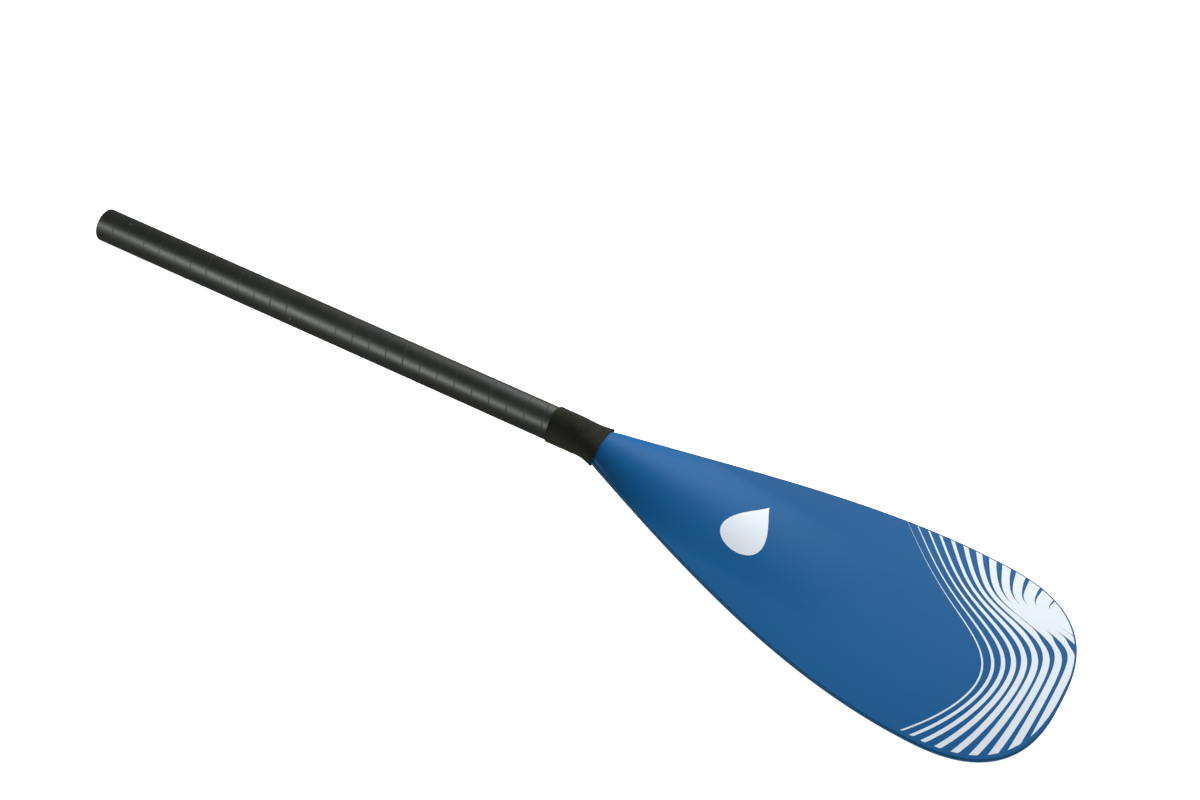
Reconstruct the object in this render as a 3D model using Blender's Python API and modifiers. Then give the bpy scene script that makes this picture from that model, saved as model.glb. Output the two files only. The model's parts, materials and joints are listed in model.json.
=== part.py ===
"""Lower section of a take-apart stand-up paddle, in metres, lying on the floor with its power face up.

A tape-wrapped composite tube carries a sandwich blade: two skins over two foam halves, a spine that
runs from inside the tube down the middle of the blade, and a rail round the edge. A shrunk sleeve
covers the joint. The upper section of the paddle slides into the open end of the tube.

Blade pieces are laid out flat first, as run (distance along the blade line from the bend), side and
rise, and then laid on the blade line, which bends down from the shaft and scoops gently up again.
"""

from math import atan2, cos, hypot, pi, radians, sin

import bmesh
import bpy
from mathutils import Vector

# Shaft. Runs are measured from the bend, negative towards the grip.
TUBE_RADIUS = 0.0145
TUBE_WALL = 0.0013
TUBE_MOUTH = -0.488
TUBE_FOOT = -0.0155
MOUTH_CHAMFER = 0.0004
BUTTON_HOLE_RADIUS = 0.00425
BUTTON_HOLE_RUN = TUBE_MOUTH + 0.045
SOCKET_DEPTH = 0.124
PLUG_LENGTH = 0.030

# Blade line: straight shaft, a short bend down, then a long shallow scoop.
BEND = radians(13.2)
BEND_START = -0.015
BEND_END = 0.015
SCOOP_RADIUS = 2.36

# Blade outline: straight flare out of the neck, widest part, then a blunt rounded tip.
NECK_HALF_WIDTH = 0.0203
NECK_FLARE = 0.35
SHOULDER_FLARE = 0.55
WIDEST_RUN = 0.3215
WIDEST_HALF_WIDTH = 0.0940
TIP_LENGTH = 0.0955
TIP_EXPONENT = 2.65

# Blade section.
SKIN_START = 0.002
SKIN = 0.0009
EDGE_HALF = 0.0019
FLAT_BULGE = 0.0016
NECK_CROWN = 0.0088
POWER_CROWN_RUN = 0.270
BACK_CROWN_RUN = 0.340
CROWN_HALF_WIDTH = 0.045
BEAD = 0.0012
TONGUE = 0.005
SPINE_TOP = -0.075
SPINE_END = 0.240
SPINE_HALF_WIDTH = 0.0085
CORE_START = 0.020

# Grid rows. The outline parameter is 0 at the neck, 1 at the widest part and 2 at the tip.
NECK_ROWS = 5
NECK_ROWS_RUN = 0.020
CORNER = 1.5

# Sides of the round pieces.
ROUND_SIDES = 40

# Clearances.
BOND_GAP = 0.0005
GAP = 0.0003

# Sleeve.
SLEEVE_TOP = -0.034
SLEEVE_FOOT = 0.010
SLEEVE_WALL = 0.0007
SLEEVE_FOOT_SLACK = 0.0001


def fresh_scene():
    for old in list(bpy.data.objects):
        bpy.data.objects.remove(old)


def new_collection(name):
    collection = bpy.data.collections.new(name)
    bpy.context.scene.collection.children.link(collection)
    return collection


def material(name, colour, roughness, metallic=0.0):
    made = bpy.data.materials.new(name)
    made.use_nodes = True
    shader = made.node_tree.nodes["Principled BSDF"]
    shader.inputs["Base Color"].default_value = (*colour, 1.0)
    shader.inputs["Roughness"].default_value = roughness
    shader.inputs["Metallic"].default_value = metallic
    return made


def ease(value, start, end):
    """0 before start, 1 after end, and a smooth step between."""
    x = min(max((value - start) / (end - start), 0.0), 1.0)
    return x * x * (3 - 2 * x)


# Blade line, outline and section


def blade_line(run):
    """Place along the shaft, height and downward pitch of the blade line at a run."""
    if run <= BEND_START:
        return run, 0.0, 0.0
    bend_radius = (BEND_END - BEND_START) / BEND
    pitch = min((run - BEND_START) / bend_radius, BEND)
    along = BEND_START + bend_radius * sin(pitch)
    height = -bend_radius * (1 - cos(pitch))
    if run <= BEND_END:
        return along, height, pitch
    pitch = BEND - (run - BEND_END) / SCOOP_RADIUS
    along += SCOOP_RADIUS * (sin(BEND) - sin(pitch))
    height -= SCOOP_RADIUS * (cos(pitch) - cos(BEND))
    return along, height, pitch


def laid(run, side, rise):
    along, height, pitch = blade_line(run)
    return Vector((along + rise * sin(pitch), side, height + rise * cos(pitch)))


def hermite(x, low, high, slope_low):
    """Cubic from low, with the given slope per unit of x, to high with no slope, over x from 0 to 1."""
    rest = 2 * x**3 - 3 * x**2
    return low * (1 + rest) + slope_low * (x**3 - 2 * x**2 + x) - high * rest


def half_width(run):
    if run <= BEND_START:
        return TUBE_RADIUS
    if run < BEND_END:
        x = (BEND_END - run) / (BEND_END - BEND_START)
        slope = -SHOULDER_FLARE * (BEND_END - BEND_START)
        return hermite(x, NECK_HALF_WIDTH, TUBE_RADIUS, slope)
    if run < WIDEST_RUN:
        span = WIDEST_RUN - BEND_END
        return hermite((run - BEND_END) / span, NECK_HALF_WIDTH, WIDEST_HALF_WIDTH, NECK_FLARE * span)
    x = min((run - WIDEST_RUN) / TIP_LENGTH, 1.0)
    return WIDEST_HALF_WIDTH * (1 - x**TIP_EXPONENT) ** (1 / TIP_EXPONENT)


def bare_rim(t):
    """Outline of the left half: t 0 at the neck, 1 at the widest part and 2 at the tip."""
    if t <= 1:
        run = SKIN_START + (WIDEST_RUN - SKIN_START) * t
        return Vector((run, half_width(run)))
    turn = (t - 1) * pi / 2
    power = 2 / TIP_EXPONENT
    return Vector(
        (
            WIDEST_RUN + TIP_LENGTH * abs(sin(turn)) ** power,
            WIDEST_HALF_WIDTH * abs(cos(turn)) ** power,
        )
    )


def rim(t, inset=0.0):
    step = 0.01
    if t >= 2 - step:
        inward = Vector((-1, 0)) if t >= 2 else Vector((-1, -(2 - t)))
    else:
        along = bare_rim(t + step) - bare_rim(max(t - step, 0.0))
        inward = Vector((along.y, -along.x))
    return bare_rim(t) + inward.normalized() * inset


def crown(run, crown_run):
    return NECK_CROWN * max(1 - run / crown_run, 0.0) ** 1.6


def face_rise(run, side, crown_run):
    """Height of a blade face over the blade line: flat edge, shallow bulge and the ridge of the neck."""
    width = max(half_width(run) - BEAD - GAP, 0.001)
    across = min(abs(side) / width, 1.0)
    to_tip = max((run - WIDEST_RUN) / TIP_LENGTH, 0.0)
    bulge = FLAT_BULGE * (1 - across**2) * (1 - min(to_tip, 1.0) ** 3) * ease(run, 0.0, 0.08)
    ridge_width = min(width, CROWN_HALF_WIDTH)
    ridge_across = min(abs(side) / ridge_width, 1.0)
    fullness = 0.55 + 1.1 * ease(run, 0.0, 0.11)
    return EDGE_HALF + bulge + crown(run, crown_run) * (1 - ridge_across**2) ** fullness


def inner_rise(run, side, crown_run, depth):
    """Height of a surface that runs a given depth under a blade face."""
    step = 0.0005
    slope = face_rise(run, side + step, crown_run) - face_rise(run, side - step, crown_run)
    return face_rise(run, side, crown_run) - depth * hypot(1.0, slope / (2 * step))


# Building


def finish(obj, surface, parts, sharp=35):
    obj.data.materials.append(surface)
    obj.data.shade_smooth()
    obj.data.set_sharp_from_angle(angle=radians(sharp))
    for user in list(obj.users_collection):
        user.objects.unlink(obj)
    parts.objects.link(obj)
    return obj


def mesh_object(name, bm):
    bmesh.ops.recalc_face_normals(bm, faces=bm.faces)
    mesh = bpy.data.meshes.new(name)
    bm.to_mesh(mesh)
    bm.free()
    obj = bpy.data.objects.new(name, mesh)
    bpy.context.scene.collection.objects.link(obj)
    return obj


def turned(name, profile, foot):
    """A turned piece: profile points as (radius, distance towards the blade from foot)."""
    bm = bmesh.new()
    points = [bm.verts.new((radius, 0, reach)) for radius, reach in profile]
    for one, other in zip(points, points[1:] + points[:1]):
        bm.edges.new((one, other))
    mesh = bpy.data.meshes.new(name)
    bm.to_mesh(mesh)
    bm.free()
    obj = bpy.data.objects.new(name, mesh)
    bpy.context.scene.collection.objects.link(obj)
    obj.location = (foot, 0, 0)
    obj.rotation_euler = (0, pi / 2, 0)
    screw = obj.modifiers.new("Turn", "SCREW")
    screw.steps = ROUND_SIDES
    screw.render_steps = ROUND_SIDES
    screw.use_merge_vertices = True
    screw.merge_threshold = 1e-5
    return obj


def rim_steps(rows, end):
    """Values of t from the neck to end: close together where the neck flares, then even."""
    neck_end = NECK_ROWS_RUN / (WIDEST_RUN - SKIN_START)
    neck = [neck_end * k / NECK_ROWS for k in range(NECK_ROWS)]
    rest = rows - NECK_ROWS
    return neck + [neck_end + (end - neck_end) * k / rest for k in range(rest + 1)]


def grid_places(steps, columns, inset, inner_side=None):
    """Flat places of a blade-shaped grid, row by row, whose outside follows the rim at an inset.

    With inner_side, a function of run, the grid covers the left half from that line outwards.
    """
    corner = rim(steps[-1], inset)
    places = []
    for t in steps:
        edge = rim(t, inset)
        pull = (t / steps[-1]) ** 3
        row = []
        for j in range(columns + 1):
            v = j / columns if inner_side else sin(pi * (j / columns - 0.5))
            tip = rim(2 - (2 - steps[-1]) * abs(v), inset)
            run = edge.x + (tip.x - corner.x) * pull
            share = abs(v) * (1 - pull) + tip.y / corner.y * pull
            side = edge.y * share
            if inner_side:
                side = inner_side(run) + side * (1 - inner_side(run) / edge.y)
            row.append((run, side if v >= 0 else -side))
        places.append(row)
    return places


def skin_piece(name, crown_run, face, inset, rows, columns):
    """A blade skin: the outer surface as a grid, thickened inwards. face is 1 for the power face."""
    bm = bmesh.new()
    bmesh.ops.create_grid(bm, x_segments=columns, y_segments=rows, size=1)
    bm.verts.ensure_lookup_table()
    places = grid_places(rim_steps(rows, CORNER), columns, inset)
    for index, vert in enumerate(bm.verts):
        run, side = places[index // (columns + 1)][index % (columns + 1)]
        vert.co = laid(run, side, face * face_rise(run, side, crown_run))
    if face < 0:
        bmesh.ops.reverse_faces(bm, faces=bm.faces)
    obj = mesh_object(name, bm)
    outward = sum((polygon.normal.z for polygon in obj.data.polygons), 0.0) * face
    shell = obj.modifiers.new("Skin", "SOLIDIFY")
    shell.thickness = SKIN
    shell.offset = -1 if outward > 0 else 1
    shell.use_even_offset = True
    return obj


def filled_piece(name, places, low, high):
    """A solid over a grid of flat places, between two heights given as functions of run and side."""
    rows, columns = len(places) - 1, len(places[0]) - 1
    bm = bmesh.new()
    bmesh.ops.create_grid(bm, x_segments=columns, y_segments=rows, size=1)
    bm.verts.ensure_lookup_table()
    flat = [places[index // (columns + 1)][index % (columns + 1)] for index in range(len(bm.verts))]
    bottom = list(bm.verts)
    raised = bmesh.ops.extrude_face_region(bm, geom=list(bm.faces), use_keep_orig=True)
    top = [item for item in raised["geom"] if isinstance(item, bmesh.types.BMVert)]
    partner = {tuple(round(c, 6) for c in vert.co): vert for vert in top}
    pairs = [(vert, partner[tuple(round(c, 6) for c in vert.co)]) for vert in bottom]
    for (lower, upper), (run, side) in zip(pairs, flat):
        lower.co = laid(run, side, low(run, side))
        upper.co = laid(run, side, high(run, side))
    return mesh_object(name, bm)


def lofted(name, sections, hollow=False):
    """A solid through closed sections, each a list of points. A hollow one has its ends joined."""
    bm = bmesh.new()
    loops = [[bm.verts.new(point) for point in section] for section in sections]
    for one, other in zip(loops, loops[1:] + (loops[:1] if hollow else [])):
        for k in range(len(one)):
            bm.faces.new((one[k - 1], one[k], other[k], other[k - 1]))
    if not hollow:
        bm.faces.new(loops[0])
        bm.faces.new(loops[-1])
    return mesh_object(name, bm)


def oval(run, half, rise, fullness=2.0, shift=0.0):
    """A closed oval section square to the blade line. Higher fullness makes it boxier."""
    points = []
    for k in range(ROUND_SIDES):
        turn = 2 * pi * k / ROUND_SIDES
        side = abs(cos(turn)) ** (2 / fullness) * (1 if cos(turn) >= 0 else -1)
        up = abs(sin(turn)) ** (2 / fullness) * (1 if sin(turn) >= 0 else -1)
        points.append(laid(run, half * side, rise * up + shift))
    return points


# Pieces


def shaft_tube(surface, parts, cutters):
    inner = TUBE_RADIUS - TUBE_WALL
    length = TUBE_FOOT - TUBE_MOUTH
    profile = [
        (TUBE_RADIUS, length),
        (TUBE_RADIUS, MOUTH_CHAMFER),
        (TUBE_RADIUS - MOUTH_CHAMFER, 0),
        (inner, 0),
        (inner, length),
    ]
    tube = turned("shaft_tube", profile, TUBE_MOUTH)
    bpy.ops.mesh.primitive_cylinder_add(
        vertices=24,
        radius=BUTTON_HOLE_RADIUS,
        depth=TUBE_RADIUS,
        location=(BUTTON_HOLE_RUN, 0, -TUBE_RADIUS),
    )
    drill = bpy.context.object
    drill.name = "button_hole_drill"
    finish(drill, surface, cutters)
    drill.hide_render = True
    drill.display_type = "WIRE"
    hole = tube.modifiers.new("Button hole", "BOOLEAN")
    hole.operation = "DIFFERENCE"
    hole.object = drill
    return [finish(tube, surface, parts), drill]


def float_plug(surface, parts):
    radius = TUBE_RADIUS - TUBE_WALL - GAP
    soft = 0.002
    profile = [
        (0, PLUG_LENGTH),
        (radius - soft, PLUG_LENGTH),
        (radius, PLUG_LENGTH - soft),
        (radius, soft),
        (radius - soft, 0),
        (0, 0),
    ]
    return finish(turned("float_plug", profile, TUBE_MOUTH + SOCKET_DEPTH), surface, parts)


def spine_half_width(run):
    return SPINE_HALF_WIDTH * (1 - run / (SPINE_END + 0.02))


def neck_spine(surface, parts):
    spigot = TUBE_RADIUS - TUBE_WALL - GAP
    collar_top = TUBE_FOOT + GAP
    collar_foot = SKIN_START - GAP
    sections = [
        oval(SPINE_TOP, spigot - 0.001, spigot - 0.001),
        oval(SPINE_TOP + 0.001, spigot, spigot),
        oval(collar_top, spigot, spigot),
        oval(collar_top, TUBE_RADIUS, TUBE_RADIUS),
    ]
    steps = 4
    for k in range(1, steps + 1):
        run = collar_top + (collar_foot - collar_top) * k / steps
        rise = TUBE_RADIUS + (face_rise(SKIN_START, 0, POWER_CROWN_RUN) - TUBE_RADIUS) * k / steps
        sections.append(oval(run, half_width(run), rise))
    depth = SKIN + BOND_GAP
    steps = 14
    for k in range(steps + 1):
        run = collar_foot + (SPINE_END - collar_foot) * k / steps
        half = spine_half_width(run)
        high = inner_rise(run, half, POWER_CROWN_RUN, depth)
        low = -inner_rise(run, half, BACK_CROWN_RUN, depth)
        sections.append(oval(run, half, (high - low) / 2, 5.0, (high + low) / 2))
    return finish(lofted("neck_spine", sections), surface, parts)


def foam_core(name, mirrored, surface, parts):
    depth = SKIN + BOND_GAP
    steps = [t for t in rim_steps(24, CORNER) if bare_rim(t).x >= CORE_START]
    places = grid_places(
        steps, 6, BEAD + TONGUE + GAP, lambda run: GAP + max(spine_half_width(run), 0)
    )
    if mirrored:
        places = [[(run, -side) for run, side in row] for row in places]
    core = filled_piece(
        name,
        places,
        lambda run, side: -inner_rise(run, side, BACK_CROWN_RUN, depth),
        lambda run, side: inner_rise(run, side, POWER_CROWN_RUN, depth),
    )
    return finish(core, surface, parts)


def edge_rail(surface, parts):
    """A bead round the blade's edge with a tongue that reaches in between the skins."""
    tongue_half = EDGE_HALF - SKIN - GAP
    round_off = 0.0006
    profile = [
        (BEAD + TONGUE, -tongue_half),
        (BEAD, -tongue_half),
        (BEAD, -EDGE_HALF),
        (round_off, -EDGE_HALF),
        (0.0, -EDGE_HALF + round_off * 1.5),
        (0.0, EDGE_HALF - round_off * 1.5),
        (round_off, EDGE_HALF),
        (BEAD, EDGE_HALF),
        (BEAD, tongue_half),
        (BEAD + TONGUE, tongue_half),
    ]
    left = [(t, 1) for t in rim_steps(36, 2)]
    right = [(t, -1) for t, _ in left[-2::-1]]
    sections = []
    for t, hand in left + right:
        places = [(rim(t, inset), rise) for inset, rise in profile]
        sections.append([laid(place.x, hand * place.y, rise) for place, rise in places])
    return finish(lofted("edge_rail", sections), surface, parts)


def neck_sleeve(surface, parts):
    steps = 9
    inside, outside = [], []
    for k in range(steps + 1):
        run = SLEEVE_TOP + (SLEEVE_FOOT - SLEEVE_TOP) * k / steps
        flare = ease(run, TUBE_FOOT, SLEEVE_FOOT)
        blade_rise = face_rise(max(run, SKIN_START), 0, POWER_CROWN_RUN)
        rise = TUBE_RADIUS + (blade_rise - TUBE_RADIUS) * ease(run, TUBE_FOOT, SKIN_START)
        loose = GAP + SLEEVE_FOOT_SLACK * flare
        for loops, extra in ((inside, loose), (outside, loose + SLEEVE_WALL)):
            loops.append(oval(run, half_width(run) + extra, rise + extra, 2 + 0.35 * flare))
    return finish(lofted("neck_sleeve", inside + outside[::-1], hollow=True), surface, parts)


def rest_tilt():
    """Turn about the width axis that brings the tube mouth and the blade tip to one height."""
    along, height, pitch = blade_line(WIDEST_RUN + TIP_LENGTH)
    tip_height = height - EDGE_HALF * cos(pitch)
    return atan2(-TUBE_RADIUS - tip_height, along - TUBE_MOUTH)


def set_down(pieces):
    """Lay the paddle on its tube mouth and blade tip, with the origin under the middle of its box."""
    tilt = rest_tilt()
    tip_along, tip_height, _ = blade_line(WIDEST_RUN + TIP_LENGTH)
    mouth_x = TUBE_MOUTH * cos(tilt) - TUBE_RADIUS * sin(tilt)
    tip_x = tip_along * cos(tilt) - tip_height * sin(tilt)
    carrier = bpy.data.objects.new("paddle", None)
    bpy.context.scene.collection.objects.link(carrier)
    carrier.rotation_euler = (0, -tilt, 0)
    carrier.location = (
        -(mouth_x + tip_x) / 2,
        0,
        TUBE_RADIUS * cos(tilt) - TUBE_MOUTH * sin(tilt),
    )
    for piece in pieces:
        piece.parent = carrier


def main():
    fresh_scene()
    parts = new_collection("paddle_blade_section")
    cutters = new_collection("cutters")
    composite = material("tape wrapped composite", (0.030, 0.036, 0.034), 0.42)
    foam = material("closed cell foam", (0.62, 0.60, 0.52), 0.95)
    nylon = material("glass filled nylon", (0.020, 0.020, 0.022), 0.60)
    blue = material("blue blade skin", (0.022, 0.098, 0.275), 0.38)
    rail_blue = material("blue rail", (0.012, 0.052, 0.150), 0.45)
    rubber = material("shrunk sleeve", (0.018, 0.018, 0.015), 0.85)
    face_inset = BEAD + GAP
    pieces = [
        *shaft_tube(composite, parts, cutters),
        float_plug(foam, parts),
        neck_spine(nylon, parts),
        finish(skin_piece("power_face_skin", POWER_CROWN_RUN, 1, face_inset, 30, 14), blue, parts),
        finish(skin_piece("back_face_skin", BACK_CROWN_RUN, -1, face_inset, 30, 14), blue, parts),
        edge_rail(rail_blue, parts),
        foam_core("foam_core_left", False, foam, parts),
        foam_core("foam_core_right", True, foam, parts),
        neck_sleeve(rubber, parts),
    ]
    set_down(pieces)


main()
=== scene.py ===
"""Looks of the lower section of a take-apart stand-up paddle: a wrapped tube with a blue sandwich blade.

Runs are measured along the paddle from the bend at the neck, negative towards the mouth of the tube.
Sides are measured across the blade. All sizes are in metres.
"""

import json
from bisect import bisect
from math import atan2, ceil, cos, exp, hypot, pi, radians, sin, sqrt

import bpy
from mathutils import Matrix, Vector


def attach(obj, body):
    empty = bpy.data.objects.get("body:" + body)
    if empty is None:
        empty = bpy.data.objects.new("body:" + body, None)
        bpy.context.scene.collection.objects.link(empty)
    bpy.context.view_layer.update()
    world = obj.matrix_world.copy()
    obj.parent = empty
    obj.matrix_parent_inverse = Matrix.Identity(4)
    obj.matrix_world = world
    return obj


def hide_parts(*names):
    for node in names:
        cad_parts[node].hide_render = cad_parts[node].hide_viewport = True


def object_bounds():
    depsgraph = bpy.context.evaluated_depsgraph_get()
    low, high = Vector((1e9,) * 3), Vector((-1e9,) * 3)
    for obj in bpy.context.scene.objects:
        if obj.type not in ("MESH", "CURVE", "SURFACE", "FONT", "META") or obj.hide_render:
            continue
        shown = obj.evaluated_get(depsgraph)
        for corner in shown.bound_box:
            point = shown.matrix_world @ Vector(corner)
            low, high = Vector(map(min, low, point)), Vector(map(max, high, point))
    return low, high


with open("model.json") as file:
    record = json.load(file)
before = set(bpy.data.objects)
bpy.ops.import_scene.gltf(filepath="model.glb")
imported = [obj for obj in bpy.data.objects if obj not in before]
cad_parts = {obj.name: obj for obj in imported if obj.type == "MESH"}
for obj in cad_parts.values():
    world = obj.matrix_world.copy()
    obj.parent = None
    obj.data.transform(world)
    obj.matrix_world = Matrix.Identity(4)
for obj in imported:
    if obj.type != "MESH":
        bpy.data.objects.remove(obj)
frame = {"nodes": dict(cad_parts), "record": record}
cad_low, cad_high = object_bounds()

# Shaft tube. A thin composite tube, rolled on a mandrel under a spiral of shrink tape whose edges
# stay in the resin as fine rings, then rubbed down to a satin black. It is cut square at the mouth
# and drilled on the back for the spring button of the paddle's next section.

TUBE_RADIUS = 0.0145
TUBE_WALL = 0.0013
TUBE_MOUTH = -0.488
TUBE_FOOT = -0.0155
MOUTH_ROUND = 0.0004
BUTTON_HOLE_RADIUS = 0.00425
BUTTON_HOLE_RUN = TUBE_MOUTH + 0.045
TAPE_PITCH = 0.0166
RIPPLES_PER_TURN = 9
SHARP_EDGE = radians(60)

socket = frame["record"]["mounts"][0]
tilt = atan2(-socket["axis"][2], -socket["axis"][0])
mouth_centre = Vector((socket["pos_m"][0], 0, socket["pos_m"][2]))
set_down = Matrix.Translation(mouth_centre) @ Matrix.Rotation(-tilt, 4, "Y")
set_down = set_down @ Matrix.Translation((-TUBE_MOUTH, 0, 0))


def start_piece():
    if bpy.context.mode != "OBJECT":
        bpy.ops.object.mode_set(mode="OBJECT")
    bpy.ops.object.select_all(action="DESELECT")


def take_up(piece):
    start_piece()
    piece.select_set(True)
    bpy.context.view_layer.objects.active = piece


def apply_modifier(piece, kind, **settings):
    take_up(piece)
    added = piece.modifiers.new(kind.title(), kind)
    for name, value in settings.items():
        setattr(added, name, value)
    bpy.ops.object.modifier_apply(modifier=added.name)


def lay_down(piece, smooth_angle=35):
    """Turn a piece from the shaft's own line to where the paddle lies, and finish its shading."""
    piece.matrix_world = set_down @ piece.matrix_world
    take_up(piece)
    bpy.ops.object.transform_apply(location=True, rotation=True, scale=True)
    bpy.ops.object.shade_smooth_by_angle(angle=radians(smooth_angle))


def turn_outwards(piece):
    take_up(piece)
    bpy.ops.object.mode_set(mode="EDIT")
    bpy.ops.mesh.select_all(action="SELECT")
    bpy.ops.mesh.normals_make_consistent(inside=False)
    bpy.ops.object.mode_set(mode="OBJECT")


start_piece()
bpy.ops.mesh.primitive_cylinder_add(
    vertices=128,
    radius=TUBE_RADIUS,
    depth=TUBE_FOOT - TUBE_MOUTH,
    end_fill_type="NOTHING",
    location=((TUBE_MOUTH + TUBE_FOOT) / 2, 0, 0),
    rotation=(0, pi / 2, 0),
)
tube = bpy.context.object
tube.name = "wrapped_tube"
turn_outwards(tube)
apply_modifier(tube, "SOLIDIFY", thickness=TUBE_WALL, offset=-1, use_even_offset=True)
apply_modifier(tube, "BEVEL", width=MOUTH_ROUND, segments=3, angle_limit=SHARP_EDGE)
start_piece()
bpy.ops.mesh.primitive_cylinder_add(
    vertices=48,
    radius=BUTTON_HOLE_RADIUS,
    depth=TUBE_RADIUS,
    location=(BUTTON_HOLE_RUN, 0, -TUBE_RADIUS),
)
drill = bpy.context.object
apply_modifier(tube, "BOOLEAN", operation="DIFFERENCE", object=drill, solver="EXACT")
bpy.data.objects.remove(drill)
lay_down(tube)


def new_material(name, roughness, **shader_values):
    """A material with one Principled shader; its tree and shader come back with it."""
    made = bpy.data.materials.new(name)
    made.use_nodes = True
    shader = made.node_tree.nodes["Principled BSDF"]
    shader.inputs["Roughness"].default_value = roughness
    for socket_name, value in shader_values.items():
        shader.inputs[socket_name.replace("_", " ")].default_value = value
    return made, made.node_tree, shader


def add_node(tree, kind, inputs=None, **settings):
    """A node whose inputs are numbers, or other nodes' sockets to link from."""
    made = tree.nodes.new(kind)
    for name, value in settings.items():
        setattr(made, name, value)
    for name, value in (inputs or {}).items():
        if isinstance(value, bpy.types.NodeSocket):
            tree.links.new(value, made.inputs[name])
        else:
            made.inputs[name].default_value = value
    return made


def maths(tree, operation, first, second=0.0):
    return add_node(tree, "ShaderNodeMath", {0: first, 1: second}, operation=operation).outputs[0]


def span(tree, value, low, high, to_low=0.0, to_high=1.0):
    """Map a value from one range to another, held inside the second."""
    ends = {"Value": value, 1: low, 2: high, 3: to_low, 4: to_high}
    return add_node(tree, "ShaderNodeMapRange", ends).outputs[0]


def blend_colours(tree, share, first, second):
    made = add_node(tree, "ShaderNodeMix", data_type="RGBA")
    for index, value in ((0, share), (6, first), (7, second)):
        if isinstance(value, bpy.types.NodeSocket):
            tree.links.new(value, made.inputs[index])
        else:
            made.inputs[index].default_value = value if index == 0 else (*value, 1.0)
    return made.outputs[2]


def object_place(tree):
    return add_node(tree, "ShaderNodeTexCoord").outputs["Object"]


def noise(tree, place, scale, detail=2.0, roughness=0.5):
    values = {"Vector": place, "Scale": scale, "Detail": detail, "Roughness": roughness}
    return add_node(tree, "ShaderNodeTexNoise", values).outputs["Fac"]


def bump(tree, shader, height, distance):
    made = add_node(tree, "ShaderNodeBump", {"Height": height, "Distance": distance})
    tree.links.new(made.outputs["Normal"], shader.inputs["Normal"])


def build_handling_marks():
    """Group of the marks that every surface picks up: cloudy tone, light specks and a fine grain."""
    group = bpy.data.node_groups.new("handling_marks", "ShaderNodeTree")
    for name in ("Cloud Scale", "Speck Scale", "Speck Share", "Grain Scale"):
        group.interface.new_socket(name, in_out="INPUT", socket_type="NodeSocketFloat")
    for name in ("Cloud", "Specks", "Grain"):
        group.interface.new_socket(name, in_out="OUTPUT", socket_type="NodeSocketFloat")
    given = group.nodes.new("NodeGroupInput").outputs
    result = group.nodes.new("NodeGroupOutput").inputs
    place = object_place(group)
    cloud = noise(group, place, given["Cloud Scale"], 4.0, 0.6)
    group.links.new(span(group, cloud, 0.3, 0.7), result["Cloud"])
    cells = {"Vector": place, "Scale": given["Speck Scale"], "Randomness": 1.0}
    cell = add_node(group, "ShaderNodeTexVoronoi", cells)
    chance = add_node(group, "ShaderNodeSeparateColor", {"Color": cell.outputs["Color"]}).outputs[0]
    rare = maths(group, "LESS_THAN", chance, given["Speck Share"])
    near = span(group, cell.outputs["Distance"], 0.12, 0.3, 1.0, 0.0)
    group.links.new(maths(group, "MULTIPLY", rare, near), result["Specks"])
    group.links.new(noise(group, place, given["Grain Scale"], 1.0), result["Grain"])
    return group


handling_marks = build_handling_marks()


def add_marks(tree, cloud_scale, speck_scale, speck_share, grain_scale):
    values = {
        "Cloud Scale": cloud_scale,
        "Speck Scale": speck_scale,
        "Speck Share": speck_share,
        "Grain Scale": grain_scale,
    }
    made = tree.nodes.new("ShaderNodeGroup")
    made.node_tree = handling_marks
    for name, value in values.items():
        made.inputs[name].default_value = value
    return made.outputs


composite, tree, shader = new_material(
    "satin_wrapped_composite", 0.48, Specular_IOR_Level=0.70, Specular_Tint=(0.90, 1.0, 0.89, 1.0)
)
marks = add_marks(tree, 14.0, 260.0, 0.012, 2600.0)
back_to_shaft = set_down.inverted()
along = add_node(
    tree,
    "ShaderNodeMapping",
    {"Vector": object_place(tree), "Location": back_to_shaft.translation, "Rotation": (0, tilt, 0)},
).outputs[0]
parts_of_place = add_node(tree, "ShaderNodeSeparateXYZ", {"Vector": along}).outputs
turn = maths(tree, "ARCTAN2", parts_of_place["Y"], parts_of_place["Z"])
pitches = maths(tree, "DIVIDE", parts_of_place["X"], TAPE_PITCH)
wrap = maths(tree, "ADD", pitches, maths(tree, "DIVIDE", turn, 2 * pi))
from_edge = maths(tree, "ABSOLUTE", maths(tree, "SUBTRACT", maths(tree, "FRACT", wrap), 0.5))
edge_line = span(tree, from_edge, 0.008, 0.038, 1.0, 0.0)
ripples = maths(tree, "SINE", maths(tree, "MULTIPLY", wrap, 2 * pi * RIPPLES_PER_TURN))
uneven = noise(tree, along, 60.0, 3.0)
line_mark = maths(tree, "MULTIPLY", edge_line, span(tree, uneven, 0.35, 0.6, 0.25, 1.0))
tone = blend_colours(tree, marks["Cloud"], (0.0070, 0.0096, 0.0072), (0.0105, 0.0138, 0.0107))
tone = blend_colours(tree, maths(tree, "MULTIPLY", line_mark, 0.85), tone, (0.0015, 0.0022, 0.0016))
tone = blend_colours(tree, maths(tree, "MULTIPLY", marks["Specks"], 0.8), tone, (0.20, 0.235, 0.20))
tree.links.new(tone, shader.inputs["Base Color"])
satin = span(tree, marks["Cloud"], 0.0, 1.0, 0.45, 0.50)
satin = maths(tree, "ADD", satin, maths(tree, "MULTIPLY", line_mark, 0.30))
tree.links.new(satin, shader.inputs["Roughness"])
ridge = maths(tree, "ADD", maths(tree, "MULTIPLY", ripples, 0.12), maths(tree, "MULTIPLY", line_mark, -1.0))
ridge = maths(tree, "ADD", ridge, maths(tree, "MULTIPLY", marks["Grain"], 0.25))
bump(tree, shader, ridge, 0.00006)
tube.data.materials.append(composite)
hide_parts("shaft_tube")
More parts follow.
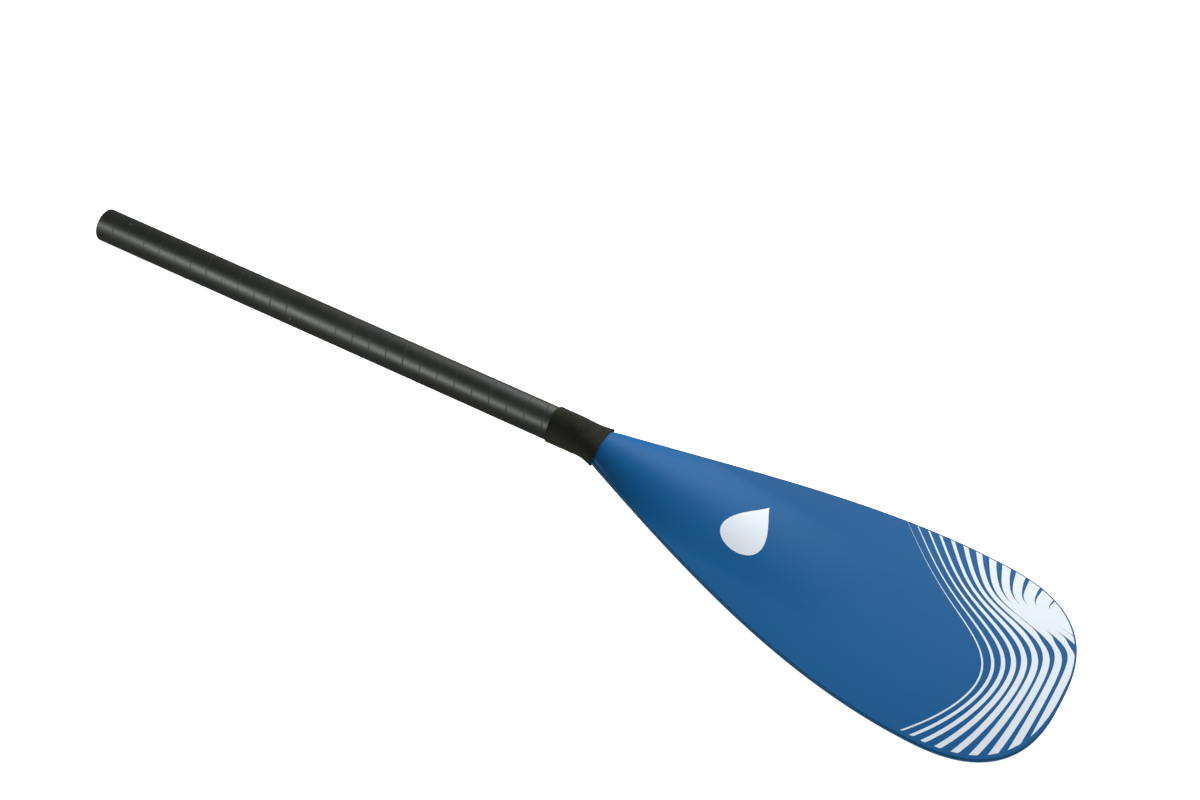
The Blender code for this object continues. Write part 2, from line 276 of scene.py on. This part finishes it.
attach(tube, "root")

# Float plug. A disc of closed-cell foam pressed down the bore below the socket. It keeps water out
# of the blade end, so that the section floats. Its rim is rounded where it was punched out.

SOCKET_DEPTH = 0.124
PLUG_LENGTH = 0.030
PLUG_ROUND = 0.002
GAP = 0.0003

start_piece()
bpy.ops.mesh.primitive_cylinder_add(
    vertices=96,
    radius=TUBE_RADIUS - TUBE_WALL - GAP,
    depth=PLUG_LENGTH,
    location=(TUBE_MOUTH + SOCKET_DEPTH + PLUG_LENGTH / 2, 0, 0),
    rotation=(0, pi / 2, 0),
)
plug = bpy.context.object
plug.name = "foam_float_plug"
apply_modifier(plug, "BEVEL", width=PLUG_ROUND, segments=5, angle_limit=SHARP_EDGE)
lay_down(plug, 50)

foam, tree, shader = new_material("closed_cell_foam", 0.95)
marks = add_marks(tree, 30.0, 500.0, 0.04, 1500.0)
cells = {"Vector": object_place(tree), "Scale": 900.0, "Randomness": 1.0}
cell = add_node(tree, "ShaderNodeTexVoronoi", cells).outputs["Distance"]
tone = blend_colours(tree, marks["Cloud"], (0.56, 0.54, 0.46), (0.66, 0.64, 0.56))
tone = blend_colours(tree, span(tree, cell, 0.35, 0.75, 0.0, 0.35), tone, (0.40, 0.38, 0.31))
tree.links.new(tone, shader.inputs["Base Color"])
bump(tree, shader, cell, 0.0004)
plug.data.materials.append(foam)
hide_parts("float_plug")
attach(plug, "root")

# Spine and foam cores. The spine is moulded in glass-filled nylon and bonded into the foot of the
# tube; the two halves of the core are milled from foam sheet and bonded to its sides. The skins,
# the rail and the sleeve cover them all over, so the CAD solids stay and take their own materials.

nylon, tree, shader = new_material("glass_filled_nylon", 0.6)
marks = add_marks(tree, 20.0, 700.0, 0.05, 1800.0)
tone = blend_colours(tree, marks["Cloud"], (0.016, 0.016, 0.018), (0.025, 0.025, 0.028))
tone = blend_colours(tree, maths(tree, "MULTIPLY", marks["Specks"], 0.3), tone, (0.12, 0.12, 0.12))
tree.links.new(tone, shader.inputs["Base Color"])
bump(tree, shader, marks["Grain"], 0.00008)
for node_name, finish in (("neck_spine", nylon), ("foam_core_left", foam), ("foam_core_right", foam)):
    node = frame["nodes"][node_name]
    node.data.materials.clear()
    node.data.materials.append(finish)

# Blade skins. Each is one moulded glass laminate 0.9 mm thick, painted satin blue: the power face,
# which faces up here, and the back face. A rounded ridge over the spine fades into a shallow bulge,
# and both skins follow the blade line, which bends down from the shaft and scoops gently up again.

BEND = radians(13.2)
BEND_START = -0.015
BEND_END = 0.015
SCOOP_RADIUS = 2.36
NECK_HALF_WIDTH = 0.0203
NECK_FLARE = 0.35
SHOULDER_FLARE = 0.55
WIDEST_RUN = 0.3215
WIDEST_HALF_WIDTH = 0.0940
TIP_LENGTH = 0.0955
TIP_EXPONENT = 2.65
SKIN_START = 0.002
SKIN = 0.0009
EDGE_HALF = 0.0019
FLAT_BULGE = 0.0016
BULGE_FULL_RUN = 0.08
NECK_CROWN = 0.0088
POWER_CROWN_RUN = 0.270
BACK_CROWN_RUN = 0.340
CROWN_HALF_WIDTH = 0.045
CROWN_FADE = 1.6
NECK_FULLNESS = 0.55
FULLNESS_GAIN = 1.1
FULLNESS_RUN = 0.11
BEAD = 0.0012
SEAM = 0.00012
CORNER = 1.5
SKIN_COLUMNS = 84
SKIN_ROWS = 200


def ease(value, start, end):
    """0 before start, 1 after end, and a smooth step between."""
    x = min(max((value - start) / (end - start), 0.0), 1.0)
    return x * x * (3 - 2 * x)


def blade_line(run):
    """Place along the shaft, height and downward pitch of the blade line at a run."""
    if run <= BEND_START:
        return run, 0.0, 0.0
    bend_radius = (BEND_END - BEND_START) / BEND
    pitch = min((run - BEND_START) / bend_radius, BEND)
    along = BEND_START + bend_radius * sin(pitch)
    height = -bend_radius * (1 - cos(pitch))
    if run <= BEND_END:
        return along, height, pitch
    pitch = BEND - (run - BEND_END) / SCOOP_RADIUS
    along += SCOOP_RADIUS * (sin(BEND) - sin(pitch))
    height -= SCOOP_RADIUS * (cos(pitch) - cos(BEND))
    return along, height, pitch


def laid(run, side, rise):
    along, height, pitch = blade_line(run)
    return Vector((along + rise * sin(pitch), side, height + rise * cos(pitch)))


def hermite(x, low, high, slope_low):
    """Cubic from low, with the given slope per unit of x, to high with no slope, over x from 0 to 1."""
    rest = 2 * x**3 - 3 * x**2
    return low * (1 + rest) + slope_low * (x**3 - 2 * x**2 + x) - high * rest


def half_width(run, inset=0.0):
    if run <= BEND_START:
        return TUBE_RADIUS
    if run < BEND_END:
        x = (BEND_END - run) / (BEND_END - BEND_START)
        slope = -SHOULDER_FLARE * (BEND_END - BEND_START)
        return hermite(x, NECK_HALF_WIDTH, TUBE_RADIUS, slope)
    if run < WIDEST_RUN:
        length = WIDEST_RUN - BEND_END
        x = (run - BEND_END) / length
        return hermite(x, NECK_HALF_WIDTH, WIDEST_HALF_WIDTH, NECK_FLARE * length) - inset
    x = min((run - WIDEST_RUN) / (TIP_LENGTH - inset), 1.0)
    return (WIDEST_HALF_WIDTH - inset) * (1 - x**TIP_EXPONENT) ** (1 / TIP_EXPONENT)


def bare_rim(t):
    """Outline of the left half: t 0 at the neck, 1 at the widest part and 2 at the tip."""
    if t <= 1:
        run = SKIN_START + (WIDEST_RUN - SKIN_START) * t
        return Vector((run, half_width(run)))
    turn = (t - 1) * pi / 2
    power = 2 / TIP_EXPONENT
    out = abs(sin(turn)) ** power, abs(cos(turn)) ** power
    return Vector((WIDEST_RUN + TIP_LENGTH * out[0], WIDEST_HALF_WIDTH * out[1]))


def rim(t, inset=0.0):
    """The outline at t, moved inwards square to itself."""
    step = 0.01
    if t >= 2 - step:
        inward = Vector((-1, 0)) if t >= 2 else Vector((-1, -(2 - t)))
    else:
        ahead = bare_rim(t + step) - bare_rim(max(t - step, 0.0))
        inward = Vector((ahead.y, -ahead.x))
    return bare_rim(t) + inward.normalized() * inset


def face_rise(run, side, crown_run=POWER_CROWN_RUN):
    """Height of a blade face over the blade line: flat edge, shallow bulge and the ridge of the neck."""
    width = max(half_width(run) - BEAD - GAP, 0.001)
    across = min(abs(side) / width, 1.0)
    to_tip = max((run - WIDEST_RUN) / TIP_LENGTH, 0.0)
    bulge = FLAT_BULGE * (1 - across**2) * (1 - min(to_tip, 1.0) ** 3) * ease(run, 0.0, BULGE_FULL_RUN)
    ridge_across = min(abs(side) / min(width, CROWN_HALF_WIDTH), 1.0)
    fullness = NECK_FULLNESS + FULLNESS_GAIN * ease(run, 0.0, FULLNESS_RUN)
    crown = NECK_CROWN * max(1 - run / crown_run, 0.0) ** CROWN_FADE
    return EDGE_HALF + bulge + crown * (1 - ridge_across**2) ** fullness


def sheet(name, columns, rows, place):
    """A grid whose corners are laid one by one: place gives each corner's position from its shares across
    and along.
    """
    start_piece()
    bpy.ops.mesh.primitive_grid_add(x_subdivisions=columns, y_subdivisions=rows, size=1)
    made = bpy.context.object
    made.name = name
    for index, corner in enumerate(made.data.vertices):
        row, column = divmod(index, columns + 1)
        corner.co = place(column / columns, row / rows)
    return made


def skin(name, face, crown_run):
    """A blade skin: its outer face as a fine sheet, thickened inwards. face is 1 for the power face, -1
    for the back. The sheet's last rows bend round into the tip, and its corners lie at CORNER."""
    inset = BEAD + SEAM
    corner = rim(CORNER, inset)

    def place(u, v):
        reach = sin(pi * (u - 0.5))
        edge = rim(CORNER * v, inset)
        tip = rim(2 - (2 - CORNER) * abs(reach), inset)
        run = edge.x + (tip.x - corner.x) * v**3
        share = abs(reach) * (1 - v**3) + tip.y / corner.y * v**3
        side = edge.y * share * (1 if reach >= 0 else -1)
        return laid(run, side, face * face_rise(run, side, crown_run))

    made = sheet(name, SKIN_COLUMNS, SKIN_ROWS, place)
    take_up(made)
    if sum(polygon.normal.z for polygon in made.data.polygons) * face < 0:
        bpy.ops.object.mode_set(mode="EDIT")
        bpy.ops.mesh.select_all(action="SELECT")
        bpy.ops.mesh.flip_normals()
    apply_modifier(made, "SOLIDIFY", thickness=SKIN, offset=-1)
    lay_down(made)
    return made


blue, tree, shader = new_material("satin_blue_paint", 0.38, Specular_IOR_Level=0.05)
marks = add_marks(tree, 5.0, 420.0, 0.004, 1900.0)
tone = blend_colours(tree, marks["Cloud"], (0.0088, 0.116, 0.325), (0.0108, 0.128, 0.352))
tone = blend_colours(tree, maths(tree, "MULTIPLY", marks["Specks"], 0.15), tone, (0.2, 0.3, 0.5))
tree.links.new(tone, shader.inputs["Base Color"])
tree.links.new(span(tree, marks["Cloud"], 0.0, 1.0, 0.36, 0.42), shader.inputs["Roughness"])
bump(tree, shader, marks["Grain"], 0.00002)
for piece_name, node_name, face, crown_run in (
    ("power_face", "power_face_skin", 1, POWER_CROWN_RUN),
    ("back_face", "back_face_skin", -1, BACK_CROWN_RUN),
):
    face_skin = skin(piece_name, face, crown_run)
    face_skin.data.materials.append(blue)
    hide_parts(node_name)
    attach(face_skin, "root")

# Edge rail. An extruded blue plastic bead bent round the blade's outline. Its half-round nose takes
# the knocks, and a tongue behind it is bonded between the two skins.

TONGUE = 0.005
NOSE_STEPS = 16
RAIL_STEPS = 420

tongue_half = EDGE_HALF - SKIN - GAP
nose_turns = [pi / 2 * (1 - 2 * k / NOSE_STEPS) for k in range(NOSE_STEPS + 1)]
profile = [(BEAD + TONGUE, tongue_half), (BEAD, tongue_half)]
profile += [(BEAD - BEAD * cos(turn), EDGE_HALF * sin(turn)) for turn in nose_turns]
profile += [(BEAD, -tongue_half), (BEAD + TONGUE, -tongue_half), (BEAD + TONGUE, tongue_half)]


def rail_place(u, v):
    """A corner of the rail's profile, carried up one side of the outline and down the other."""
    inset, rise = profile[round(u * (len(profile) - 1))]
    t = 4 * v
    spot = rim(min(t, 4 - t), inset)
    return laid(spot.x, spot.y if t <= 2 else -spot.y, rise)


rail = sheet("edge_bead", len(profile) - 1, RAIL_STEPS, rail_place)
take_up(rail)
bpy.ops.object.mode_set(mode="EDIT")
bpy.ops.mesh.select_all(action="SELECT")
bpy.ops.mesh.remove_doubles(threshold=1e-6)
bpy.ops.mesh.select_all(action="DESELECT")
bpy.ops.mesh.select_non_manifold(extend=False)
bpy.ops.mesh.fill_holes(sides=0)
turn_outwards(rail)
lay_down(rail, 40)

rail_blue, tree, shader = new_material("blue_rail_plastic", 0.42, Specular_IOR_Level=0.12)
marks = add_marks(tree, 25.0, 600.0, 0.02, 1700.0)
tone = blend_colours(tree, marks["Cloud"], (0.009, 0.105, 0.240), (0.011, 0.122, 0.275))
tone = blend_colours(tree, maths(tree, "MULTIPLY", marks["Specks"], 0.2), tone, (0.15, 0.22, 0.35))
tree.links.new(tone, shader.inputs["Base Color"])
bump(tree, shader, marks["Grain"], 0.00003)
rail.data.materials.append(rail_blue)
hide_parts("edge_rail")
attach(rail, "root")

# Neck sleeve. A short length of black heat-shrink tube drawn tight over the end of the tube and the
# neck of the blade. It is matte, faintly wrinkled where it shrank over the shoulder, and its ends
# are cut by hand, so they are a little thick and not quite straight.

SLEEVE_TOP = -0.034
SLEEVE_FOOT = 0.010
SLEEVE_WALL = 0.0007
SLEEVE_THICKNESS = 0.00063
SLEEVE_ROUND = 0.00018
SLEEVE_FOOT_SLACK = 0.0001
UNEVEN_CUT = 0.0005
WRINKLE = 0.00012
END_LIP = 0.00022


def sleeve_place(u, v):
    """Round at the top, and squarer towards the foot, where it is drawn over the blade's neck."""
    turn = 2 * pi * u
    cut = UNEVEN_CUT * (sin(3 * turn + 0.6) + 0.5 * sin(7 * turn))
    run = SLEEVE_TOP + (SLEEVE_FOOT - SLEEVE_TOP) * v + cut * (1 - v) + cut * 0.3 * v
    flare = ease(run, TUBE_FOOT, SLEEVE_FOOT)
    blade_rise = face_rise(max(run, SKIN_START), 0)
    rise = TUBE_RADIUS + (blade_rise - TUBE_RADIUS) * ease(run, TUBE_FOOT, SKIN_START)
    wrinkle = sin(5 * turn + 900 * run) * sin(2 * turn - 420 * run + 1.3) * sin(pi * v)
    lip = exp(-v * 28) + 0.5 * exp(-(1 - v) * 40)
    extra = GAP + SLEEVE_FOOT_SLACK * flare + SLEEVE_WALL + WRINKLE * wrinkle + END_LIP * lip
    power = 2 / (2 + 0.35 * flare)
    out = abs(cos(turn)) ** power * (1 if cos(turn) >= 0 else -1)
    up = abs(sin(turn)) ** power * (1 if sin(turn) >= 0 else -1)
    return laid(run, (half_width(run) + extra) * out, (rise + extra) * up)


sleeve = sheet("shrunk_sleeve", 192, 72, sleeve_place)
take_up(sleeve)
bpy.ops.object.mode_set(mode="EDIT")
bpy.ops.mesh.select_all(action="SELECT")
bpy.ops.mesh.remove_doubles(threshold=1e-6)
turn_outwards(sleeve)
apply_modifier(sleeve, "SOLIDIFY", thickness=SLEEVE_THICKNESS, offset=-1)
apply_modifier(sleeve, "BEVEL", width=SLEEVE_ROUND, segments=2, angle_limit=SHARP_EDGE)
lay_down(sleeve)

rubber, tree, shader = new_material(
    "matte_shrink_sleeve", 0.82, Specular_IOR_Level=0.08, Specular_Tint=(1.0, 1.0, 0.85, 1.0)
)
marks = add_marks(tree, 55.0, 380.0, 0.05, 1300.0)
tone = blend_colours(tree, marks["Cloud"], (0.0165, 0.0180, 0.0125), (0.0300, 0.0318, 0.0240))
tone = blend_colours(tree, maths(tree, "MULTIPLY", marks["Specks"], 0.25), tone, (0.07, 0.07, 0.06))
tree.links.new(tone, shader.inputs["Base Color"])
folds = noise(tree, object_place(tree), 260.0, 4.0, 0.6)
height = maths(tree, "ADD", folds, maths(tree, "MULTIPLY", marks["Grain"], 0.35))
bump(tree, shader, height, 0.00035)
sleeve.data.materials.append(rubber)
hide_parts("neck_sleeve")
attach(sleeve, "root")

# Printed waves. White ink on the power face: thirteen lines leave the upper edge, roll over in one
# wave and swell towards the tip until they meet, and the first ten part again towards the lower
# edge. Each is a thin sheet that follows the face and ends just inside the outline.

INK = 0.00008
INK_LIFT = 0.00003
WAVES = 13
LAST_TO_PART = 10
LANES = 8
LANE_STEPS = 200
OVERLAP = 0.0004
TOP_MARGIN = 0.0019
FOOT_MARGIN = 0.0042
STAGGER = 0.00001
TIP_GAP = 1e-6
SIDE_STEP = 0.0005

# Driving sizes of the lines' near edges. Each is its value on line 1, its growth by line 9 and the
# bend in that growth.
CREST_RUN = 0.4549, -0.1331, 0.0898
ROLL_SIDE = 0.0234, 0.0363, -0.0042
ROLL_SIZE = 0.0352, -0.0376, 0.0103
ROLL_DROP = 0.0819, -0.0338, 0.0240
UPPER_SLOPE = 1.1765, -0.6430, -0.2463
FOOT_SIDE = -0.1420, -0.0448, -0.0020
FOOT_ROLL = 0.1432, -0.1182, 0.0
FOOT_SLOPE = 2.5466, 0.1520, 0.0
LEAST_ROLL = 0.0020

# Driving sizes of the lines' widths, each with what it gains from one line to the next.
MEET_SIDE = 0.047
PART_SIDE = 0.045
UPPER_END = 0.085
TOP_SHARE = 0.03
TOP_SHARE_GAIN = 0.075
CREST_SHARE = 0.1
CREST_SHARE_GAIN = 0.115
EVEN_WIDTH = 0.0063


def grow(number, size):
    """A driving size on a line, which has its whole growth at line 9."""
    first, growth, bend = size
    step = (number - 1) / 8
    return first + growth * step + bend * step * step


def soft_ramp(x):
    """Nothing well below 0 and x well above it, with a rounded corner between."""
    return (x + sqrt(x * x + 1)) / 2


def soft_step(x):
    return (1 + x / sqrt(x * x + 1)) / 2


def wave_edge(number, side):
    """Run, at a place across the blade, of the near edge of a wave line. It runs back from the crest
    in a roll and a steady slope towards the upper edge, and in a second slope towards the foot."""
    roll = max(grow(number, ROLL_SIZE), LEAST_ROLL)
    above = (side - grow(number, ROLL_SIDE)) / roll
    rolled = grow(number, UPPER_SLOPE) * roll * soft_ramp(above) + grow(number, ROLL_DROP) * soft_step(above)
    foot_roll = max(grow(number, FOOT_ROLL), LEAST_ROLL)
    below = (grow(number, FOOT_SIDE) - side) / foot_roll
    return grow(number, CREST_RUN) - rolled - grow(number, FOOT_SLOPE) * foot_roll * soft_ramp(below)


def print_margin(side):
    return TOP_MARGIN + (FOOT_MARGIN - TOP_MARGIN) * ease(-side, -0.02, 0.06)


def inside(run, side):
    return abs(side) <= half_width(run, print_margin(side))


def tip_run(side):
    """Run at which the print stops short of the rounded tip."""
    margin = print_margin(side)
    across = min(abs(side) / (WIDEST_HALF_WIDTH - margin), 1.0)
    return WIDEST_RUN + (TIP_LENGTH - margin) * (1 - across**TIP_EXPONENT) ** (1 / TIP_EXPONENT)


def wave_width(number, side):
    """Width of a line along the run. Its share of the spacing grows from the upper edge to the crest,
    where lines 8 and on meet; past the crest it fades to an even width. The last fills the corner."""
    if number == WAVES:
        return max(tip_run(side) - wave_edge(number, side), 0.0)
    spacing = wave_edge(number + 1, side) - wave_edge(number, side)
    lean = (wave_edge(number, side - 0.001) - wave_edge(number, side + 0.001)) / 0.002
    late = max(number - 7, 0)
    meet_at = MEET_SIDE + 0.0140 * ease(number, 6, 8) + 0.0030 * max(number - 8, 0)
    part_at = PART_SIDE + 0.006 * ease(number, 5, 7) + 0.0036 * late + 0.0002 * late**2
    fade = 0.025 - 0.014 * ease(number, 5, 7)
    top_share = TOP_SHARE + TOP_SHARE_GAIN * (number - 1)
    crest_share = CREST_SHARE + CREST_SHARE_GAIN * (number - 1) + 0.12 * ease(number, 5.5, 7.5)
    crest_share = min(crest_share, 1.0)
    even_share = EVEN_WIDTH * (1 - exp(-number / 3.9)) * (1 + 0.18 * abs(lean)) / spacing
    fall = min(max((side - meet_at) / (UPPER_END - meet_at), 0.0), 1.0) ** 0.6
    share = crest_share + (top_share - crest_share) * fall
    if number <= LAST_TO_PART:
        share += (even_share - crest_share) * ease(part_at - side, 0.0, fade)
    return spacing * min(share, 1.0) + OVERLAP * ease(share, 0.97, 1.0)


def last_inside(lane, high, low):
    """Last side at which a lane is inside the outline, going from one side towards another."""
    steps = ceil(abs(low - high) / SIDE_STEP)
    sides = [high + (low - high) * k / steps for k in range(steps + 1)]
    within = [inside(lane(side), side) for side in sides]
    if False not in within:
        return low
    outer = sides[within.index(False)]
    inner = sides[within.index(False) - 1]
    for _ in range(16):
        middle = (outer + inner) / 2
        if inside(lane(middle), middle):
            inner = middle
        else:
            outer = middle
    return inner


def highest_inside(lane):
    steps = 400
    sides = [WIDEST_HALF_WIDTH * (1 - 2 * k / steps) for k in range(steps + 1)]
    found = next((side for side in sides if inside(lane(side), side)), None)
    if found is None:
        return None
    return last_inside(lane, found, found + 2 * WIDEST_HALF_WIDTH / steps)


def even_sides(lane, high, low):
    """Sides at even distances along a lane, from its upper end to its lower one."""
    samples = 1200
    sides = [high + (low - high) * k / samples for k in range(samples + 1)]
    runs = [lane(side) for side in sides]
    reach = [0.0]
    for k in range(samples):
        reach.append(reach[-1] + hypot(sides[k + 1] - sides[k], runs[k + 1] - runs[k]))
    places = [bisect(reach, reach[-1] * k / LANE_STEPS) for k in range(LANE_STEPS)]
    return [sides[min(place, samples)] for place in places] + [low]


def on_power_face(run, side, lift=INK_LIFT):
    return laid(run, side, face_rise(run, side) + lift)


def wave_line(number):
    """One printed line as a sheet of lanes, from its near edge to its far one. A lane that would pass
    the tip slides along its margin as far as the foot of the near edge. Every second line is laid a
    hair higher, as they overlap."""
    lanes = []
    foot = -WIDEST_HALF_WIDTH
    for j in range(LANES + 1):
        def lane(side, share=j / LANES):
            return wave_edge(number, side) + wave_width(number, side) * share

        def held_lane(side, lane=lane):
            return min(lane(side), tip_run(side) - TIP_GAP)

        top = highest_inside(lane)
        if top is None:
            break
        if j == 0:
            foot = last_inside(lane, top, foot)
            lanes.append((lane, even_sides(lane, top, foot)))
        else:
            low = max(last_inside(held_lane, top, -WIDEST_HALF_WIDTH), foot)
            lanes.append((held_lane, even_sides(held_lane, top, low)))

    def place(u, v):
        lane, sides = lanes[round(u * (len(lanes) - 1))]
        side = sides[round(v * LANE_STEPS)]
        return on_power_face(lane(side), side, INK_LIFT + number % 2 * STAGGER)

    return sheet(f"wave_line_{number}", len(lanes) - 1, LANE_STEPS, place)


def ink(printed):
    """Give a printed sheet its thickness, with its face turned up."""
    take_up(printed)
    bpy.ops.object.mode_set(mode="EDIT")
    bpy.ops.mesh.select_all(action="SELECT")
    bpy.ops.mesh.remove_doubles(threshold=1e-7)
    if sum(polygon.normal.z * polygon.area for polygon in printed.data.polygons) < 0:
        bpy.ops.mesh.flip_normals()
    apply_modifier(printed, "SOLIDIFY", thickness=INK, offset=1)
    lay_down(printed, 30)


white, tree, shader = new_material("white_ink", 0.42, Specular_IOR_Level=0.25)
marks = add_marks(tree, 18.0, 500.0, 0.006, 1900.0)
tone = blend_colours(tree, marks["Cloud"], (0.80, 0.88, 0.96), (0.83, 0.91, 0.975))
tone = blend_colours(tree, maths(tree, "MULTIPLY", marks["Specks"], 0.2), tone, (0.35, 0.45, 0.6))
tree.links.new(tone, shader.inputs["Base Color"])
bump(tree, shader, marks["Grain"], 0.00002)

wave_lines = [wave_line(number) for number in range(1, WAVES + 1)]
start_piece()
for line in wave_lines:
    line.select_set(True)
bpy.context.view_layer.objects.active = wave_lines[0]
bpy.ops.object.join()
waves = bpy.context.object
waves.name = "wave_print"
ink(waves)
waves.data.materials.append(white)
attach(waves, "root")

# Drop mark. A plain water drop in the same white ink, lying across the middle of the power face
# below the neck.

DROP_RUN = 0.1445
DROP_LENGTH = 0.054
DROP_WIDTH = 0.034
DROP_SIDE = 0.004
DROP_LEAN = radians(8)


def drop_place(u, v):
    """A teardrop curve, 1.3 wide as it comes, scaled to the drop's size and shrunk to its middle by v."""
    turn = 2 * pi * u
    down = -DROP_LENGTH / 2 * cos(turn)
    across = DROP_WIDTH / 1.3 * sin(turn) * abs(sin(turn / 2)) ** 1.5
    across, down = across * v, -down * v
    run = DROP_RUN + across * cos(DROP_LEAN) + down * sin(DROP_LEAN)
    side = DROP_SIDE + down * cos(DROP_LEAN) - across * sin(DROP_LEAN)
    return on_power_face(run, side)


drop = sheet("drop_mark", 96, 14, drop_place)
ink(drop)
drop.data.materials.append(white)
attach(drop, "root")

# Studio. A plain pale floor that glows enough to hide the shadows, a broad soft key from the far
# side, a weak low light behind it and dim air. A long strip in front gives only its reflection: the
# line of light along the tube.

start_piece()
bpy.ops.mesh.primitive_plane_add(size=40, location=(0, 0, cad_low[2]))
floor = bpy.context.object
floor.name = "studio_floor"
paper, tree, shader = new_material("pale_paper", 0.9)
mottle = noise(tree, object_place(tree), 3.0, 2.0)
tone = blend_colours(tree, mottle, (0.93, 0.93, 0.93), (0.95, 0.95, 0.95))
tree.links.new(tone, shader.inputs["Base Color"])
shader.inputs["Emission Color"].default_value = (1, 1, 1, 1)
shader.inputs["Emission Strength"].default_value = 0.95
floor.data.materials.append(paper)
floor.visible_glossy = False


def soft_light(name, place, target, width, height, watts):
    start_piece()
    bpy.ops.object.light_add(type="AREA", location=place)
    light = bpy.context.object
    light.name = name
    light.data.shape = "RECTANGLE"
    light.data.size = width
    light.data.size_y = height
    light.data.energy = watts
    light.rotation_euler = (Vector(target) - Vector(place)).to_track_quat("-Z", "Y").to_euler()
    return light


soft_light("key", (0.52, 1.90, 1.42), (0.10, 0, 0), 1.6, 1.4, 74)
strip = soft_light("front_strip", (-1.1, -1.75, 0.92), (-0.15, 0, 0), 2.4, 0.28, 50)
strip.visible_diffuse = False
soft_light("back_low", (0.0, 2.0, 0.62), (0.1, 0, 0), 2.0, 0.5, 5)

world = bpy.data.worlds.new("studio_air")
bpy.context.scene.world = world
world.use_nodes = True
air = world.node_tree.nodes["Background"].inputs
air["Color"].default_value = (1, 1, 1, 1)
air["Strength"].default_value = 0.10

bpy.ops.object.camera_add(
    location=(0.51844, -0.97092, 1.39321),
    rotation=(radians(39.7040), radians(-3.1649), radians(29.9791)),
)
camera = bpy.context.object
camera.data.lens = 65.111
camera.data.sensor_width = 36.0
bpy.context.scene.camera = camera
bpy.context.scene.view_settings.view_transform = "Standard"
